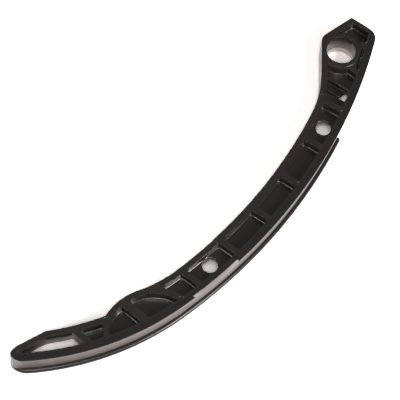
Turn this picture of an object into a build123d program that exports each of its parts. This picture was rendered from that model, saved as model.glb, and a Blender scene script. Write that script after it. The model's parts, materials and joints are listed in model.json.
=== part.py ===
from build123d import *
import os
from math import atan2, cos, degrees, hypot, radians, sin, sqrt, tan

os.makedirs("parts", exist_ok=True)

# A timing chain tensioner rail, in millimetres and degrees.
# The pivot bore stands along Z with its axis at the origin. The rail lies on its far face at z = 0
# and runs along +X to its tip. The chain runs over the +Y side, and the tensioner pushes on the -Y side.
# A bearing is an angle seen from the centre of a chain arc, from +Y towards +X. It names a station
# along the rail, and an inset is a distance from the chain face into the rail.

# Thicknesses along Z
rail_thickness = 14.5
near_pocket_depth = 5.0
web_thickness = 2.2
near_lip_thickness = 1.5
far_flange_thickness = 2.3

# Pivot bore, its boss and the bush at the bore's far end
bore_radius = 7.5
boss_radius = 10.0
boss_face_radius = 9.8
boss_face_rise = 0.3
bush_wall = 1.3
bush_length = 4.1
bush_chamfer = 0.4

# Chain face: a long arc at the head, then a tighter arc to the tip
head_chain_radius = 276.6
tip_chain_radius = 139.35
bore_inset = 13.77
bore_bearing = -26.91
arc_change_bearing = 8.16
tip_bearing = 42.7

# Depth of the rail behind the chain face, on each arc
head_depth = 15.4
tip_depth = 12.75

# Chain guides: a lip along the near edge and a wider flange with a rounded edge along the far edge
lip_rise = 1.45
flange_rise = 2.0
flange_rise_tip = 2.45
flange_start_bearing = -18.3
flange_start_fillet = 1.4
flange_edge_fillet = 1.2
flange_nose_bearing = 40.5
flange_nose_reach = 0.25
flange_nose_drop = 2.7

# Head outline: straight edges at a distance from the bore axis, each with the direction it faces
top_edge_distance = 12.0
top_edge_facing = -98.9
end_edge_distance = 19.37
end_edge_facing = 188.7
side_edge_facing = -48.1
apex_fillet = 1.5
end_corner_fillet = 6.5
shoulder_fillet = 4.5
throat_fillet = 55.0

# Tensioner pad: the bulge on the -Y side that the tensioner plunger pushes on
pad_bearing = 15.95
pad_rise = 5.15
pad_radius = 30.7
pad_entry_fillet = 57.0
pad_corner_fillet = 1.5

# Heel and nose at the tip
heel_bearing = 36.3
heel_facing = -105.9
heel_fillet = 6.0
nose_facing = 0.0
nose_length = 5.8
nose_fillet = 6.8
nose_corner_fillet = 2.4
nose_wall = 5.2

# Walls and ribs
back_wall = 3.1
chain_wall = 2.8
end_wall = 2.2
far_rim_wall = 2.3
heel_relief_wall = 1.0
heel_relief_start = 199.0
rib_thickness = 3.2
corner_fillet = 0.9
rib_places = (27.8, 50.3, 73.7, 97.1, 121.3, 145.9)
first_rib_lean = 11.6
last_rib_lean = 6.4

# Arch wall over the tensioner pad: one arc on each side of its upright rib
arch_centre = (178.4, 41.5)
arch_radius = 21.4
arch_tail_centre = (178.9, 38.7)
arch_tail_radius = 19.1
arch_rib_place = 178.3
arch_rib_thickness = 4.4
arch_rib_lean = 3.5
tip_rib_place = 204.9
tip_rib_lean = 5.0

# Openings through the web
web_hole_radius = 3.95
web_hole_places = ((37.1, 22.1), (131.7, 33.8))
head_window_start = 12.6
head_window_end = 19.3
tongue_length = 4.6
tongue_level = 6.3
tongue_thickness = 1.5
tongue_side_y = 15.4
tongue_fillet = 2.0

# Head: the slot beside the boss, and the solid block between the two head pockets
slot_width = 1.5
slot_depth = 10.0
slot_length = 12.8
slot_facing = 118.2
slot_shift = 1.6
slot_boss_overlap = 0.3
end_pocket_facing = 231.0
end_pocket_distance = 3.6
boss_root_length = 6.5
boss_skirt_radius = 10.9
boss_pocket_place = 5.8
boss_pocket_lean = 4.0

# Recess across the near face, between two steps
recess_start = 122.4
recess_end = 151.6
recess_lean = 5.0
recess_drop = 0.7

# Round ejector marks, sunk a little into the near face
mark_depth = 0.12
mark_places = (
    (230.1, 3.3, 1.7),
    (188.9, 20.1, 1.5),
    (156.0, 38.0, 1.6),
    (70.9, 36.4, 1.5),
    (26.8, 11.2, 1.5),
    (26.0, 24.8, 1.5),
    (-12.1, 7.1, 1.25),
    (2.5, 15.1, 1.25),
)

# Levels and arc centres that follow from the sizes above
web_top = rail_thickness - near_pocket_depth
web_bottom = web_top - web_thickness
track_top = rail_thickness - near_lip_thickness

# Reach of the construction shapes: half planes, cross walls, bearings past both ends, and the track's cut
plan_reach = 300.0
wall_reach = 60.0
bearing_reach = 15.0
track_reach = 4.0

# Least turn of a pocket's edge that counts as a corner, and the share of an edge that a fillet may take
least_turn = 20.0
fillet_share = 0.45


def along(facing):
    """Unit direction at an angle from +X."""
    return (cos(radians(facing)), sin(radians(facing)))


def on_arc(centre, radius, bearing):
    """Point at a bearing on a circle."""
    return (
        centre[0] + radius * sin(radians(bearing)),
        centre[1] + radius * cos(radians(bearing)),
    )


head_centre = on_arc((0, 0), bore_inset - head_chain_radius, bore_bearing)
tip_centre = on_arc(head_centre, head_chain_radius - tip_chain_radius, arc_change_bearing)


def station(bearing, inset):
    """Point at a bearing, at a distance behind the chain face."""
    if bearing < arc_change_bearing:
        return on_arc(head_centre, head_chain_radius - inset, bearing)
    return on_arc(tip_centre, tip_chain_radius - inset, bearing)


def arc(centre, radius, first, last):
    """Arc between two bearings about a centre."""
    middle = (first + last) / 2
    return ThreePointArc(
        on_arc(centre, radius, first),
        on_arc(centre, radius, middle),
        on_arc(centre, radius, last),
    )


def meet(facing_a, distance_a, facing_b, distance_b):
    """Corner of two straight edges, each at a distance from the origin and facing outwards."""
    ax, ay = along(facing_a)
    bx, by = along(facing_b)
    cross = ax * by - ay * bx
    return ((distance_a * by - distance_b * ay) / cross, (ax * distance_b - bx * distance_a) / cross)


def edge_meets_arc(facing, distance, centre, radius, turn):
    """Point where a straight edge crosses a circle; turn is +1 or -1 and picks one of the two."""
    nx, ny = along(facing)
    offset_from_centre = distance - (nx * centre[0] + ny * centre[1])
    reach = turn * sqrt(radius**2 - offset_from_centre**2)
    return (
        centre[0] + nx * offset_from_centre - ny * reach,
        centre[1] + ny * offset_from_centre + nx * reach,
    )


def arcs_meet(centre_a, radius_a, centre_b, radius_b, turn):
    """Point where two circles cross; turn is +1 or -1 and picks one of the two."""
    gap = hypot(centre_b[0] - centre_a[0], centre_b[1] - centre_a[1])
    ux = (centre_b[0] - centre_a[0]) / gap
    uy = (centre_b[1] - centre_a[1]) / gap
    forward = (radius_a**2 - radius_b**2 + gap**2) / (2 * gap)
    reach = turn * sqrt(radius_a**2 - forward**2)
    return (centre_a[0] + ux * forward - uy * reach, centre_a[1] + uy * forward + ux * reach)


def through(facing, point):
    """Distance from the origin of a straight edge that faces a way and passes through a point."""
    nx, ny = along(facing)
    return nx * point[0] + ny * point[1]


def bearing_of(centre, point):
    """Bearing of a point from a centre."""
    return degrees(atan2(point[0] - centre[0], point[1] - centre[1]))


def heading(bearing):
    """Unit direction along a chain arc at a bearing, towards the tip."""
    return (cos(radians(bearing)), -sin(radians(bearing)))


def rounded(face, corner, radius):
    """Face with the corner nearest to a point rounded."""
    vertex = face.vertices().sort_by_distance(Vector(*corner))[0]
    return fillet(vertex, radius)


def fitting_radius(face, vertex):
    """Fillet radius for a corner of a plan, limited by the edges beside it; 0 where they hardly turn."""
    edges = [edge for edge in face.edges() if vertex in edge.vertices()]
    ways = [(edge @ 0.5) - vertex.center() for edge in edges]
    opening = ways[0].get_angle(ways[1])
    if opening > 180 - least_turn:
        return 0
    room = fillet_share * min(edge.length for edge in edges)
    return min(corner_fillet, room * tan(radians(opening / 2)))


def prism(face, bottom, top):
    """Solid that stands on a plan face between two levels."""
    return extrude(Pos(0, 0, bottom) * face, top - bottom, dir=(0, 0, 1))


# Places on the tip that follow from its arc: the pad's centre, the heel edge and the nose edges
pad_centre = on_arc(tip_centre, tip_chain_radius - tip_depth - pad_rise + pad_radius, pad_bearing)
heel_distance = through(heel_facing, station(heel_bearing, tip_depth))
nose_corner = station(tip_bearing, -lip_rise)
nose_distance = through(nose_facing, nose_corner)
nose_bottom_facing = nose_facing - 90
nose_bottom_distance = through(nose_bottom_facing, nose_corner) + nose_length


def rail_outline(inset, end_inset):
    """Plan of the rail with its lip, moved inwards by an inset, and by another one at the head's end."""
    top = top_edge_distance - inset
    side = boss_radius - inset
    end = end_edge_distance - end_inset
    head_lip = head_chain_radius + lip_rise - inset
    head_back = head_chain_radius - head_depth + inset
    tip_lip = tip_chain_radius + lip_rise - inset
    tip_back = tip_chain_radius - tip_depth + inset
    pad = pad_radius - inset

    shoulder = meet(top_edge_facing, top, side_edge_facing, side)
    apex = meet(top_edge_facing, top, end_edge_facing, end)
    end_corner = edge_meets_arc(end_edge_facing, end, head_centre, head_lip, -1)
    nose_end = edge_meets_arc(nose_facing, nose_distance - inset, tip_centre, tip_lip, 1)
    nose_bottom = meet(nose_facing, nose_distance - inset, nose_bottom_facing, nose_bottom_distance - inset)
    heel_end = meet(heel_facing, heel_distance - inset, nose_bottom_facing, nose_bottom_distance - inset)
    heel = edge_meets_arc(heel_facing, heel_distance - inset, tip_centre, tip_back, 1)
    pad_exit = arcs_meet(tip_centre, tip_back, pad_centre, pad, -1)
    pad_crown = on_arc(pad_centre, -pad, pad_bearing)
    pad_entry = arcs_meet(head_centre, head_back, pad_centre, pad, 1)
    throat = edge_meets_arc(side_edge_facing, side, head_centre, head_back, 1)

    outline = make_face([
        Line(shoulder, apex),
        Line(apex, end_corner),
        arc(head_centre, head_lip, bearing_of(head_centre, end_corner), arc_change_bearing),
        arc(tip_centre, tip_lip, arc_change_bearing, bearing_of(tip_centre, nose_end)),
        Line(nose_end, nose_bottom),
        Line(nose_bottom, heel_end),
        Line(heel_end, heel),
        arc(tip_centre, tip_back, bearing_of(tip_centre, heel), bearing_of(tip_centre, pad_exit)),
        ThreePointArc(pad_exit, pad_crown, pad_entry),
        arc(head_centre, head_back, bearing_of(head_centre, pad_entry), bearing_of(head_centre, throat)),
        Line(throat, shoulder),
    ])
    corners = [
        (apex, apex_fillet - inset),
        (end_corner, end_corner_fillet - inset),
        (shoulder, shoulder_fillet - inset),
        (throat, throat_fillet + inset),
        (pad_entry, pad_entry_fillet + inset),
        (pad_exit, pad_corner_fillet - inset),
        (heel, heel_fillet + inset),
    ]
    if inset == 0:
        corners += [(nose_end, nose_fillet), (nose_bottom, nose_corner_fillet)]
    for corner, radius in corners:
        if radius > 0:
            outline = rounded(outline, corner, radius)
    return outline


def behind_chain(inset):
    """Plan of all that lies at least an inset behind the chain face, a little past both ends of the rail."""
    head_radius = head_chain_radius - inset
    tip_radius = tip_chain_radius - inset
    first = bore_bearing - bearing_reach
    last = tip_bearing + bearing_reach
    edges = [
        Line(head_centre, on_arc(head_centre, head_radius, first)),
        arc(head_centre, head_radius, first, arc_change_bearing),
        arc(tip_centre, tip_radius, arc_change_bearing, last),
        Line(on_arc(tip_centre, tip_radius, last), tip_centre),
        Line(tip_centre, head_centre),
    ]
    return make_face(edges)


def beyond(facing, distance):
    """Half plane on the far side of a line at a distance from the origin."""
    half = Rectangle(plan_reach, 2 * plan_reach, align=(Align.MIN, Align.CENTER))
    return Rot(0, 0, facing) * Pos(distance, 0) * half


def head_side_of(x):
    """Half plane on the head's side of a place along X."""
    return Pos(x, 0) * Rectangle(plan_reach, 2 * plan_reach, align=(Align.MAX, Align.CENTER))


def tip_side_of(x):
    """Half plane on the tip's side of a place along X."""
    return Pos(x, 0) * Rectangle(plan_reach, 2 * plan_reach, align=(Align.MIN, Align.CENTER))


def rail_middle(x):
    """Point halfway through the rail's depth at a place along X."""
    radius = head_chain_radius - head_depth / 2
    centre = head_centre
    if x > on_arc(head_centre, radius, arc_change_bearing)[0]:
        radius = tip_chain_radius - tip_depth / 2
        centre = tip_centre
    return (x, centre[1] + sqrt(radius**2 - (x - centre[0]) ** 2))


def wall_bar(place, thickness, lean):
    """Straight wall across the rail whose tip side passes through the rail's middle at a place."""
    bar = Rectangle(thickness, wall_reach, align=(Align.MAX, Align.CENTER))
    return Pos(*rail_middle(place)) * Rot(0, 0, lean) * bar


def rib_lean(place):
    """Lean of a rib, which falls steadily from the first rib to the last."""
    share = (place - rib_places[0]) / (rib_places[-1] - rib_places[0])
    return first_rib_lean + share * (last_rib_lean - first_rib_lean)


def arch_walls():
    """The arch over the tensioner pad: a ring on each side of the upright rib, and that rib."""
    rib = wall_bar(arch_rib_place, arch_rib_thickness, arch_rib_lean)
    head_side = head_side_of(arch_rib_place - arch_rib_thickness / 2)
    tail_side = tip_side_of(arch_rib_place - arch_rib_thickness / 2)
    head_ring = Circle(arch_radius + rib_thickness) - Circle(arch_radius)
    tail_ring = Circle(arch_tail_radius + rib_thickness) - Circle(arch_tail_radius)
    return rib + (Pos(*arch_centre) * head_ring & head_side) + (Pos(*arch_tail_centre) * tail_ring & tail_side)


def head_walls():
    """The boss round the bore, its root in the top rim, and the solid block between the head's pockets."""
    root = Pos(-boss_root_length, 0) * Rectangle(2 * boss_root_length, plan_reach, align=(Align.MIN, Align.MAX))
    root -= beyond(side_edge_facing + 90, 0)
    block = behind_chain(0) - beyond(end_pocket_facing, end_pocket_distance)
    block -= beyond(boss_pocket_lean, boss_pocket_place)
    skirt = Circle(boss_skirt_radius) & tip_side_of(0)
    return Circle(boss_radius) + skirt + block + root


def inside_rim(back, chain_side):
    """Plan of all that lies inside the rim, with the given walls on the back and on the chain side."""
    clear = rail_outline(back, back - back_wall + end_wall) & behind_chain(chain_side)
    return clear - beyond(nose_facing, nose_distance - nose_wall)


def pocket_plans(back, chain_side, cross_walls):
    """Plans of all pockets, between the two walls of the rim and the walls that cross the rail."""
    clear = inside_rim(back, chain_side) - head_walls() - arch_walls()
    for wall in cross_walls:
        clear -= wall
    pockets = [rounded_pocket(face) for face in clear.faces()]
    return sorted(pockets, key=lambda face: face.center().X)


def rounded_pocket(face):
    """Pocket plan with its corners rounded, apart from those against the boss, which stay sharp."""
    for corner in [vertex.center() for vertex in face.vertices()]:
        vertex = face.vertices().sort_by_distance(corner)[0]
        radius = fitting_radius(face, vertex)
        if radius > 0 and hypot(*corner) > boss_skirt_radius + corner_fillet:
            face = face.fillet_2d(radius, [vertex])
    return face


def rail_blank():
    """The rail before its pockets: plan, chain track, far flange and the recess in the near face."""
    blank = prism(rail_outline(0, 0), 0, rail_thickness)
    beyond_lip = behind_chain(-track_reach) - behind_chain(0)
    blank -= prism(beyond_lip, 0, track_top)
    blank += far_flange()
    recess = wall_bar(recess_end, recess_end - recess_start, recess_lean)
    blank -= prism(recess, rail_thickness - recess_drop, rail_thickness)
    blank -= prism(recess & beyond_lip, track_top, rail_thickness)
    return blank


def far_flange():
    """The far flange: it reaches past the chain face, swells towards the tip and turns in at the nose."""
    start = station(flange_start_bearing, -flange_rise)
    change_rise = (flange_rise + flange_rise_tip) / 2
    change = station(arc_change_bearing, -change_rise)
    nose_start = station(flange_nose_bearing, -flange_rise_tip)
    nose_end = (nose_corner[0] + flange_nose_reach, nose_corner[1] - flange_nose_drop)
    nose_inside = (nose_corner[0] - nose_corner_fillet, nose_end[1])
    head_middle = (flange_start_bearing + arc_change_bearing) / 2
    tip_middle = (arc_change_bearing + flange_nose_bearing) / 2
    outer = [
        ThreePointArc(start, station(head_middle, -flange_rise), change),
        ThreePointArc(change, station(tip_middle, -(change_rise + flange_rise_tip) / 2), nose_start),
        TangentArc(nose_start, nose_end, tangent=heading(flange_nose_bearing)),
    ]
    inner = [
        Line(nose_end, nose_inside),
        Line(nose_inside, station(flange_nose_bearing, far_rim_wall)),
        arc(tip_centre, tip_chain_radius - far_rim_wall, flange_nose_bearing, arc_change_bearing),
        arc(head_centre, head_chain_radius - far_rim_wall, arc_change_bearing, flange_start_bearing),
        Line(station(flange_start_bearing, far_rim_wall), start),
    ]
    plan = rounded(make_face(outer + inner), start, flange_start_fillet)
    flange = prism(plan, 0, far_flange_thickness)
    top_edges = flange.edges().group_by(Axis.Z)[-1]
    rounded_edges = [edge for edge in top_edges if beyond_chain(edge)]
    return fillet(rounded_edges, flange_edge_fillet)


def beyond_chain(edge):
    """Whether the middle of an edge lies past the chain face."""
    x, y, _ = edge @ 0.5
    centre, radius = (head_centre, head_chain_radius)
    if bearing_of(tip_centre, (x, y)) > arc_change_bearing:
        centre, radius = (tip_centre, tip_chain_radius)
    return hypot(x - centre[0], y - centre[1]) > radius + flange_nose_reach


def head_window(boss_pocket):
    """Plans of the window in the head's web and of the tongue that reaches under it."""
    lean = rib_lean(head_window_start)
    window = boss_pocket & wall_bar(head_window_end, head_window_end - head_window_start, lean)
    tongue = wall_bar(head_window_start + tongue_length, head_window_start, lean)
    tongue &= beyond(-90, -tongue_side_y)
    corner = max(tongue.vertices(), key=lambda vertex: vertex.X + vertex.Y)
    return window, fillet(corner, tongue_fillet)


def rail_body():
    """The moulded rail: blank, near and far pockets with a web between them, and its openings."""
    body = rail_blank()
    ribs = [wall_bar(place, rib_thickness, rib_lean(place)) for place in rib_places]
    tip_rib = wall_bar(tip_rib_place, rib_thickness, tip_rib_lean)
    near = pocket_plans(back_wall, chain_wall, ribs + [tip_rib])
    far = pocket_plans(far_rim_wall, far_rim_wall, ribs)
    boss_pocket = near[1]
    tip_window = near[-1]
    for plan in near:
        body -= prism(plan, web_top, rail_thickness)
    body -= prism(tip_window, web_bottom, web_top)
    window, tongue = head_window(boss_pocket)
    body -= prism(window, tongue_level, web_top)
    tongue_bottom = tongue_level - tongue_thickness
    for plan in far[:1] + far[2:]:
        body -= prism(plan, 0, web_bottom)
    body -= prism(far[1], 0, tongue_bottom)
    beside_tongue = far[1] - tongue - head_side_of(head_window_start)
    body -= prism(beside_tongue, tongue_bottom, web_bottom)
    heel_relief = inside_rim(heel_relief_wall, far_rim_wall) & tip_side_of(heel_relief_start)
    body -= prism(heel_relief, 0, web_bottom)
    for place in web_hole_places:
        body -= Pos(*place, web_bottom) * disc(web_hole_radius, web_thickness)
    body += Pos(0, 0, rail_thickness) * disc(boss_face_radius, boss_face_rise)
    body -= disc(bore_radius, rail_thickness + boss_face_rise)
    body -= disc(bore_radius + bush_wall, bush_length)
    slot = Rectangle(slot_width, slot_length)
    slot_place = Rot(0, 0, slot_facing) * Pos(boss_radius + slot_width / 2 - slot_boss_overlap, -slot_shift)
    body -= prism(slot_place * slot, rail_thickness - slot_depth, rail_thickness)
    for x, y, radius in mark_places:
        body -= Pos(x, y, rail_thickness - mark_depth) * disc(radius, mark_depth)
    return body


def disc(radius, height):
    """Disc that stands on z = 0."""
    return Cylinder(radius, height, align=(Align.CENTER, Align.CENTER, Align.MIN))


def pivot_bush():
    """Short bush at the far end of the bore, flush with it inside, with a lead-in at its pressed-in end."""
    bush = disc(bore_radius + bush_wall, bush_length) - disc(bore_radius, bush_length)
    lead_in = bush.edges().filter_by(GeomType.CIRCLE).group_by(Axis.Z)[-1].sort_by(SortBy.RADIUS)[-1]
    return chamfer(lead_in, bush_chamfer)


parts = {"rail_body": rail_body(), "pivot_bush": pivot_bush()}
for name, solid in parts.items():
    solid.label = name
    export_step(solid, f"parts/{name}.step")
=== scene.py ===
import json
import math

import bpy
from mathutils import Matrix, Vector

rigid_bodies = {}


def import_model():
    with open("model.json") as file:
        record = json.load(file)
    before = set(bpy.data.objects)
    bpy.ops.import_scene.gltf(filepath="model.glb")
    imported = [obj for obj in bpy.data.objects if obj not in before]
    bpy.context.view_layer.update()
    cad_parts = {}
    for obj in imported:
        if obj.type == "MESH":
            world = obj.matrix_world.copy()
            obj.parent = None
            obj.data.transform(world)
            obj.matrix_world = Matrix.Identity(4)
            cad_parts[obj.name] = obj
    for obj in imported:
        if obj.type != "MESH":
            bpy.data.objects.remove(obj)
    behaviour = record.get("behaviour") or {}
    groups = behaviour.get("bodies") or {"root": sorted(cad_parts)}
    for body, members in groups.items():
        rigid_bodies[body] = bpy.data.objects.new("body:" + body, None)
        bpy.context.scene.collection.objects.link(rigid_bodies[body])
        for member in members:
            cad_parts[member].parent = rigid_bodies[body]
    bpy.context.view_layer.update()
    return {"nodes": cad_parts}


# %% [markdown]
# # A timing chain tensioner rail
# The rail is a black moulded arm that turns about a pivot at its head. A timing chain runs over its
# outer, convex side, and a tensioner pushes on its inner side so that the chain stays tight.
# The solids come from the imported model, in metres, with the pivot's axis at the origin and the far
# face on z = 0. This lesson rounds their edges, gives them their materials, and then adds the
# camera, the floor and the light.

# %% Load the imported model
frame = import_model()
rail = frame["nodes"]["rail_body"]
bush = frame["nodes"]["pivot_bush"]
print("pieces:", sorted(frame["nodes"]))

# %% [markdown]
# ## Rounded edges
# No edge of a moulding is quite sharp. The rounding could be drawn in the solid, edge by edge. Here
# a Bevel modifier rounds every edge that turns by more than 40 degrees, inner ones as well, and
# leaves the facets of the curved walls alone. The radius is a compromise, not a measured size,
# judged against the photo: a wider one left the pocket walls too pale, and none left the curved
# walls blotchy. The model comes as loose triangles, so a Weld modifier joins them first. Hardened
# normals keep the large flat faces flat right up to the rounding.

# %% The edge rounding
edge_radius = 0.00005
rounded_from_degrees = 40


def round_edges(piece, radius):
    """Joins a node's loose triangles and rounds its edges by a radius in metres."""
    weld = piece.modifiers.new("join_triangles", "WELD")
    weld.merge_threshold = 1e-6
    rounding = piece.modifiers.new("round_edges", "BEVEL")
    rounding.limit_method = "ANGLE"
    rounding.angle_limit = math.radians(rounded_from_degrees)
    rounding.width = radius
    rounding.segments = 2
    rounding.use_clamp_overlap = False
    rounding.harden_normals = True


round_edges(rail, edge_radius)
print("edges rounded by", 1000 * edge_radius, "mm")

# %% [markdown]
# ## Small helpers for materials
# Each material is a small tree of shader nodes. Patterns are laid out on Object coordinates, in
# metres, so that the grain keeps its real size whatever the view.

# %% Helpers
def new_material(name):
    """New material: returns it, its nodes, its links and its Principled shader."""
    material = bpy.data.materials.new(name)
    material.use_nodes = True
    nodes = material.node_tree.nodes
    return material, nodes, material.node_tree.links, nodes["Principled BSDF"]


def grain(nodes, links, place, size, detail=2.0):
    """Noise whose grains are about the given size in metres."""
    noise = nodes.new("ShaderNodeTexNoise")
    noise.inputs["Scale"].default_value = 1.0 / size
    noise.inputs["Detail"].default_value = detail
    links.new(place, noise.inputs["Vector"])
    return noise.outputs["Fac"]


def spread(nodes, links, value, low, high, start=0.0, end=1.0):
    """Turns a value that runs from start to end into one from low to high, and holds it outside."""
    ramp = nodes.new("ShaderNodeMapRange")
    for name, number in (("From Min", start), ("From Max", end), ("To Min", low), ("To Max", high)):
        ramp.inputs[name].default_value = number
    links.new(value, ramp.inputs["Value"])
    return ramp.outputs["Result"]


def calc(nodes, links, operation, first, second=0.0):
    """Maths node on two inputs, each a socket or a number."""
    node = nodes.new("ShaderNodeMath")
    node.operation = operation
    for socket, value in zip(node.inputs, (first, second)):
        if isinstance(value, (int, float)):
            socket.default_value = value
        else:
            links.new(value, socket)
    return node.outputs["Value"]


def blend(nodes, links, factor, first, second):
    """Mix of two numbers or sockets: the first where the factor socket is 0, the second where it is 1."""
    node = nodes.new("ShaderNodeMix")
    links.new(factor, node.inputs["Factor"])
    for name, value in (("A", first), ("B", second)):
        if isinstance(value, (int, float)):
            node.inputs[name].default_value = value
        else:
            links.new(value, node.inputs[name])
    return node.outputs["Result"]


def blend_colours(nodes, links, factor, first, second):
    """Mix of two colours, each a colour socket or a red, green and blue, by a factor socket."""
    node = nodes.new("ShaderNodeMix")
    node.data_type = "RGBA"
    links.new(factor, node.inputs["Factor"])
    for name, value in (("A", first), ("B", second)):
        if isinstance(value, tuple):
            node.inputs[name].default_value = (*value, 1)
        else:
            links.new(value, node.inputs[name])
    return node.outputs["Result"]


def only_height(nodes, links, height):
    """Vector that changes with the height alone, so a pattern on it runs in level lines."""
    level = nodes.new("ShaderNodeCombineXYZ")
    links.new(height, level.inputs["Z"])
    return level.outputs["Vector"]


# %% [markdown]
# ## Where the chain runs
# The track the chain runs on is coloured a pale grey between black edges: partly the wear the chain
# rubs in, and partly a painted sheen that puts the table's reflection into the colour. The track is
# made of two arcs, and a point lies on it when its distance from the arc's centre is the arc's radius:
# the square root of dx squared plus dy squared. The mask measures that distance with maths nodes, so no
# mask is painted on the mesh, and the same distance tells how far behind the track a point lies.

# %% Mask of the chain's track
head_arc = {"centre": (0.11896, -0.23437), "radius": 0.2766}
tip_arc = {"centre": (0.13844, -0.09849), "radius": 0.13935}
arcs_change_x = 0.1582
track_bottom = 0.0023
track_top = 0.0130
track_tolerance = 0.00025


def track_mask(nodes, links, place):
    """Four sockets: 1 on the chain's track and 0 elsewhere; the depth behind it; X; Z. In metres."""
    split = nodes.new("ShaderNodeSeparateXYZ")
    links.new(place, split.inputs["Vector"])
    depths = []
    for arc in (head_arc, tip_arc):
        dx = calc(nodes, links, "SUBTRACT", split.outputs["X"], arc["centre"][0])
        dy = calc(nodes, links, "SUBTRACT", split.outputs["Y"], arc["centre"][1])
        squares = [calc(nodes, links, "POWER", side, 2.0) for side in (dx, dy)]
        distance = calc(nodes, links, "SQRT", calc(nodes, links, "ADD", *squares))
        depths.append(calc(nodes, links, "SUBTRACT", arc["radius"], distance))
    on_tip_arc = calc(nodes, links, "GREATER_THAN", split.outputs["X"], arcs_change_x)
    depth = blend(nodes, links, on_tip_arc, depths[0], depths[1])
    near_arc = calc(nodes, links, "LESS_THAN", calc(nodes, links, "ABSOLUTE", depth), track_tolerance)
    above = calc(nodes, links, "GREATER_THAN", split.outputs["Z"], track_bottom)
    below = calc(nodes, links, "LESS_THAN", split.outputs["Z"], track_top)
    between = calc(nodes, links, "MULTIPLY", above, below)
    mask = calc(nodes, links, "MULTIPLY", near_arc, between)
    return mask, depth, split.outputs["X"], split.outputs["Z"]


# %% [markdown]
# ## Black moulded plastic
# The rail is black plastic, taken here to be glass-filled nylon. A moulded face has a fine grain
# that scatters the light, so it looks charcoal rather than black. A wide, weak noise lets the tone
# wander a little, so that no large face is perfectly even. The track's grey is partly wear and partly
# painted sheen, and it is palest by the head, where it paints in the fall of light along the track.

# %% The plastic's colour, and the track's wear and painted sheen
dark_tone = (0.0070, 0.0062, 0.0056)
pale_tone = (0.0100, 0.0089, 0.0081)
# Greys of the track: partly wear and partly painted sheen, paler by the head as painted light.
track_grey_and_sheen_by_head = (0.114, 0.096, 0.090)
track_grey_and_sheen_by_tip = (0.056, 0.047, 0.045)
palest_track_x = 0.060
darkest_track_x = 0.230
tone_patch = 0.012

plastic, nodes, links, shader = new_material("black_nylon")
place = nodes.new("ShaderNodeTexCoord").outputs["Object"]
on_track, depth, along, height = track_mask(nodes, links, place)
patches = grain(nodes, links, place, tone_patch, detail=3)
tone = blend_colours(nodes, links, patches, dark_tone, pale_tone)
# The track's grey is wear and painted sheen, and it fades from the head to the tip as a painted fall of
# light.
towards_tip = spread(nodes, links, along, 0.0, 1.0, palest_track_x, darkest_track_x)
track_wear_and_sheen = blend_colours(nodes, links, towards_tip, track_grey_and_sheen_by_head, track_grey_and_sheen_by_tip)
colour = blend_colours(nodes, links, on_track, tone, track_wear_and_sheen)
links.new(colour, shader.inputs["Base Color"])
print("worn grey by the head and by the tip:", track_grey_and_sheen_by_head, track_grey_and_sheen_by_tip)

# %% [markdown]
# ## Shine of the plastic
# The moulded faces have a soft shine, and the track has faint streaks along it where the chain has
# rubbed. The photo shows a dark side beside the flange with one thin bright line along the flange's
# rounded edge. To come near that, the shine is turned down beside the track, and what faces up
# keeps more of it there.

# %% Roughness and shine
moulded_roughness = (0.20, 0.26)
rubbed_roughness = (0.28, 0.40)
gloss_patch = 0.006
streak_width = 0.0006
dull_shine = 0.10
full_shine = 0.5
dull_until_depth = 0.0016
full_from_depth = 0.0020
upright_normal = 0.84
level_normal = 0.93
level_share = 0.6

shader.inputs["IOR"].default_value = 1.6
moulded = spread(nodes, links, grain(nodes, links, place, gloss_patch, detail=4), *moulded_roughness)
streaks = grain(nodes, links, only_height(nodes, links, height), streak_width, detail=3)
rubbed = spread(nodes, links, streaks, *rubbed_roughness)
links.new(blend(nodes, links, on_track, moulded, rubbed), shader.inputs["Roughness"])

behind_track = spread(nodes, links, depth, 0.0, 1.0, dull_until_depth, full_from_depth)
facing = nodes.new("ShaderNodeSeparateXYZ")
links.new(nodes.new("ShaderNodeNewGeometry").outputs["Normal"], facing.inputs["Vector"])
faces_up = spread(nodes, links, facing.outputs["Z"], 0.0, level_share, upright_normal, level_normal)
kept_shine = calc(nodes, links, "MAXIMUM", behind_track, faces_up)
links.new(blend(nodes, links, kept_shine, dull_shine, full_shine), shader.inputs["Specular IOR Level"])
print("shine from", dull_shine, "near the track to", full_shine)

# %% [markdown]
# ## Inner corners and grain
# The feet of the pocket walls have a wider radius than the edges. Fillets of 0.45 mm, tried on the
# solids that cut the pockets, held for eight of the near side's eleven and failed for three. To
# treat all the pockets alike, the solid keeps its inner corners sharp, and the shader's own bevel
# bends the light round them, as if they had a radius of up to 0.8 mm. It does so only below the
# near face and behind the track, where those corners are; elsewhere its radius is a tenth of a
# millimetre. The grain is a faint bump, weaker on the track.

# %% Corners and bump
edge_shade_radius = 0.0001
inner_corner_radius = 0.0008
corners_below = 0.0128
edges_above = 0.0132
grain_size = 0.00035
grain_height = 0.00004
moulded_bump = 0.12
rubbed_bump = 0.04

below_near_face = spread(nodes, links, height, 1.0, 0.0, corners_below, edges_above)
in_pockets = calc(nodes, links, "MULTIPLY", below_near_face, behind_track)
corner = nodes.new("ShaderNodeBevel")
corner.samples = 16
corner_radius = spread(nodes, links, in_pockets, edge_shade_radius, inner_corner_radius)
links.new(corner_radius, corner.inputs["Radius"])
bump = nodes.new("ShaderNodeBump")
bump.inputs["Distance"].default_value = grain_height
links.new(blend(nodes, links, on_track, moulded_bump, rubbed_bump), bump.inputs["Strength"])
links.new(grain(nodes, links, place, grain_size, detail=3), bump.inputs["Height"])
links.new(corner.outputs["Normal"], bump.inputs["Normal"])
links.new(bump.outputs["Normal"], shader.inputs["Normal"])

rail.data.materials.clear()
rail.data.materials.append(plastic)
print("rail_body:", plastic.name, "with inner corners shaded as", 1000 * inner_corner_radius, "mm")

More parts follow.
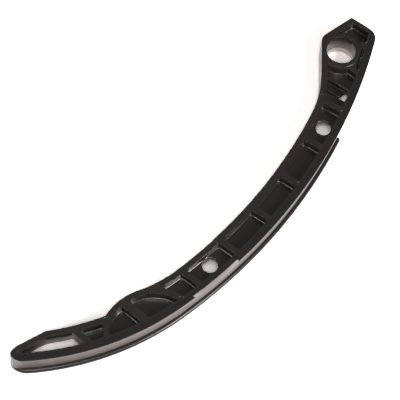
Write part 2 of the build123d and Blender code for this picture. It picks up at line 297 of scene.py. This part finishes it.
# %% [markdown]
# ## Steel of the bush
# The bright band at the far end of the bore is read as a bush of turned steel, with fine rings
# round its wall. They come from noise that changes with the height alone.

# %% The bush's steel
steel_colour = (0.46, 0.42, 0.39)
steel_roughness = (0.26, 0.42)
ring_width = 0.00025
ring_height = 0.00002
ring_bump = 0.2

steel, nodes, links, shader = new_material("turned_steel")
place = nodes.new("ShaderNodeTexCoord").outputs["Object"]
shader.inputs["Metallic"].default_value = 1.0
shader.inputs["Base Color"].default_value = (*steel_colour, 1)
split = nodes.new("ShaderNodeSeparateXYZ")
links.new(place, split.inputs["Vector"])
rings = grain(nodes, links, only_height(nodes, links, split.outputs["Z"]), ring_width, detail=3)
links.new(spread(nodes, links, rings, *steel_roughness), shader.inputs["Roughness"])
bump = nodes.new("ShaderNodeBump")
bump.inputs["Strength"].default_value = ring_bump
bump.inputs["Distance"].default_value = ring_height
links.new(rings, bump.inputs["Height"])
links.new(bump.outputs["Normal"], shader.inputs["Normal"])
bush.data.materials.clear()
bush.data.materials.append(steel)
print("pivot_bush:", steel.name)

# %% [markdown]
# ## Camera
# The photo is taken with a long lens from well above the rail, with the head at the top right.
# The place and the two directions were worked out from the rail's outline and its bore.

# %% The camera
camera_place = Vector((0.48106, 0.29257, 0.98501))
looks_along = Vector((-0.34296, -0.26465, -0.90130)).normalized()
picture_up = Vector((-0.63633, -0.64035, 0.43016))
picture_right = looks_along.cross(picture_up).normalized()
picture_up = picture_right.cross(looks_along)
lens_mm = 198.0
sensor_mm = 36.0

camera = bpy.data.objects.new("camera", bpy.data.cameras.new("camera"))
bpy.context.collection.objects.link(camera)
turn = Matrix((picture_right, picture_up, -looks_along)).transposed()
camera.matrix_world = Matrix.Translation(camera_place) @ turn.to_4x4()
camera.data.lens = lens_mm
camera.data.sensor_width = sensor_mm
camera.data.clip_start = 0.05
camera.data.clip_end = 20.0
bpy.context.scene.camera = camera
print("camera distance in m:", round(camera_place.length, 3))

# %% [markdown]
# ## Floor
# The rail lies on a white table that the photo shows pure white. More light would wash out the rail,
# so the table is only paler to the camera and to reflections than it is to the light that bounces
# from it: the Light Path node tells the rays apart. The rail's shadow still darkens it.

# %% The floor
floor_gap = 0.00005
reach = 3.0
paper_as_lit = (0.80, 0.755, 0.735)
paper_as_seen = (1.45, 1.37, 1.34)

corners = [(-reach, -reach), (reach, -reach), (reach, reach), (-reach, reach)]
floor_mesh = bpy.data.meshes.new("floor")
floor_mesh.from_pydata([(x, y, -floor_gap) for x, y in corners], [], [(0, 1, 2, 3)])
floor = bpy.data.objects.new("floor", floor_mesh)
bpy.context.collection.objects.link(floor)

paper, nodes, links, shader = new_material("white_table")
nodes.remove(shader)
matte = nodes.new("ShaderNodeBsdfDiffuse")
rays = nodes.new("ShaderNodeLightPath")
seen = calc(nodes, links, "MAXIMUM", rays.outputs["Is Camera Ray"], rays.outputs["Is Glossy Ray"])
seen = calc(nodes, links, "MAXIMUM", seen, rays.outputs["Is Transmission Ray"])
links.new(blend_colours(nodes, links, seen, paper_as_lit, paper_as_seen), matte.inputs["Color"])
links.new(matte.outputs["BSDF"], nodes["Material Output"].inputs["Surface"])
floor.data.materials.append(paper)
print("table of", 2 * reach, "m, seen at", paper_as_seen)

# %% [markdown]
# ## Light
# Two tall softboxes stand low, one beyond the chain side and one beyond the tip, and draw the bright
# lines along the inner corners. Two small ones above light the table through the bore and the
# holes. The room itself is dim, so that the flat faces stay dark.

# %% The lights
rail_centre = Vector((0.108, 0.02, 0.0))
room_strength = 0.2


def softbox(name, bearing, elevation, distance, width, height, power):
    """Area light that faces the rail; bearing runs from +X towards +Y, in degrees."""
    around = math.radians(bearing)
    rise = math.radians(elevation)
    level = math.cos(rise)
    away = Vector((math.cos(around) * level, math.sin(around) * level, math.sin(rise)))
    data = bpy.data.lights.new(name, "AREA")
    data.shape = "RECTANGLE"
    data.size = width
    data.size_y = height
    data.energy = power
    light = bpy.data.objects.new(name, data)
    light.location = rail_centre + away * distance
    light.rotation_euler = away.to_track_quat("Z", "Y").to_euler()
    bpy.context.collection.objects.link(light)


softbox("chain_side", bearing=98, elevation=34, distance=1.3, width=0.4, height=1.0, power=44)
softbox("tip_side", bearing=-6, elevation=30, distance=1.3, width=0.3, height=0.6, power=8)
softbox("above_camera", bearing=34, elevation=66, distance=1.7, width=0.4, height=0.4, power=7)
softbox("overhead", bearing=45, elevation=80, distance=1.6, width=0.4, height=0.4, power=4)

world = bpy.data.worlds.new("studio")
world.use_nodes = True
world.node_tree.nodes["Background"].inputs["Color"].default_value = (1, 1, 1, 1)
world.node_tree.nodes["Background"].inputs["Strength"].default_value = room_strength
bpy.context.scene.world = world
bpy.context.scene.view_settings.view_transform = "Standard"
print("lights:", sorted(light.name for light in bpy.data.lights))
